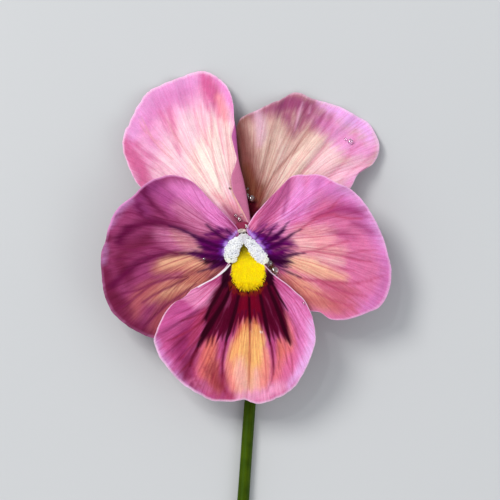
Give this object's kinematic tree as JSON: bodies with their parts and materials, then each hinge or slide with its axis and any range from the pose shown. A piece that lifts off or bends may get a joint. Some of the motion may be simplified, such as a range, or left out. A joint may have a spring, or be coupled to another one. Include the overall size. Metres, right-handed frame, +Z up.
{
  "type": "pansy flower",
  "caption": "Cut pansy lying on its back: overlapping rippled petals with white beards at the throat, green sepals, a short spur and a long stem.",
  "frame": {"origin": "middle of the small flat tip of the spur, on the surface that the flower lies on, straight below the throat's lower edge", "axes": "+Z up, out of the face of the flower; +Y towards the two upper petals, so the stem runs towards -Y; +X to the viewer's right when looking down on the face"},
  "size_m": [0.0494, 0.102, 0.0121],
  "materials": {
    "petal_upper_left": "soft velvety petal, cream heart and lilac-pink margin",
    "petal_upper_right": "soft velvety petal, cream and tan heart and lilac margin",
    "petal_lateral_left": "soft velvety petal, plum with dark veins and a tan heart",
    "petal_lateral_right": "soft velvety petal, lilac and peach with dark whiskers",
    "petal_lower": "soft velvety petal, maroon blotch, orange middle and yellow throat",
    "beards": "white hairs",
    "sepals": "matt green leaf",
    "stem": "smooth green stem",
    "pistil": "pale green",
    "stamens": "orange-brown, matt"
  },
  "bodies": {
    "root": {"petal_upper_left": "petal_upper_left", "petal_upper_right": "petal_upper_right", "petal_lateral_left": "petal_lateral_left", "petal_lateral_right": "petal_lateral_right", "petal_lower": "petal_lower", "beard_left": "beards", "beard_right": "beards", "stem": "stem", "pistil": "pistil", "stamens": "stamens", "sepal_upper": "sepals", "sepal_right": "sepals", "sepal_left": "sepals", "sepal_lower_right": "sepals", "sepal_lower_left": "sepals"}
  },
  "joints": []
}
